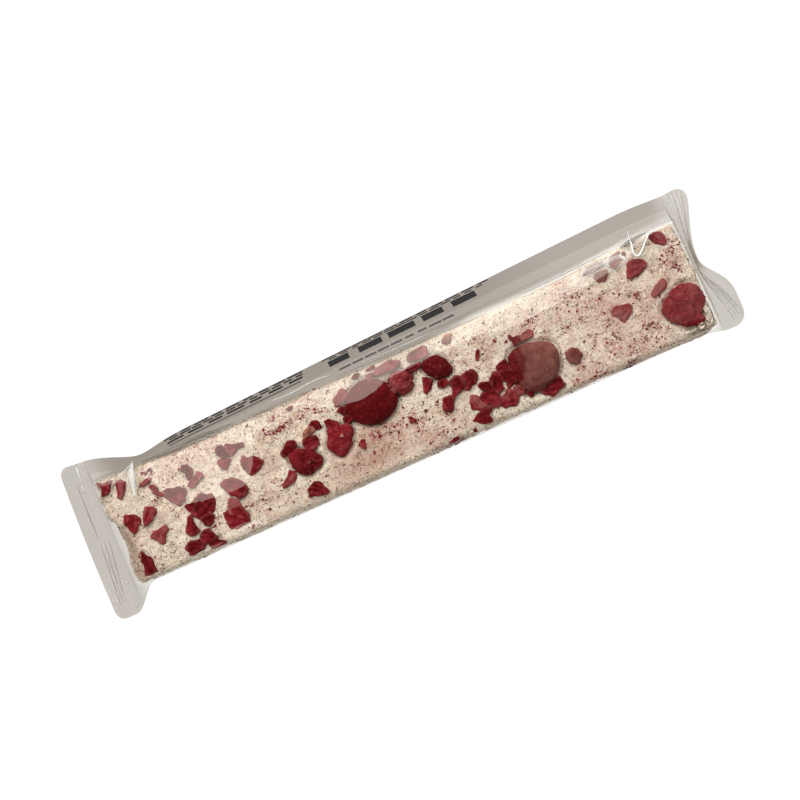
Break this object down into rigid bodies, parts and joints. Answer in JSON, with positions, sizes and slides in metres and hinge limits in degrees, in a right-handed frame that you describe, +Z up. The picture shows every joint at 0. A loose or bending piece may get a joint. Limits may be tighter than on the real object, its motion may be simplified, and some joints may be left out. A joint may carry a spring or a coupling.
{
  "type": "nougat bar",
  "caption": "Soft nougat bar with raspberries in a sealed clear film pack, with a crimped fin at each end and slack film along one long side.",
  "frame": {"origin": "on the surface that the pack lies on, under the middle of its box", "axes": "+X along the bar from its left end to its right end, +Y across it to the slack side of the film, +Z up"},
  "size_m": [0.221, 0.0544, 0.0178],
  "materials": {
    "film": "clear gloss",
    "nougat": "matt, soft",
    "raspberry": "matt, dry fruit",
    "print": "printed"
  },
  "bodies": {
    "root": {"wrapped_bar": "film"}
  },
  "joints": []
}
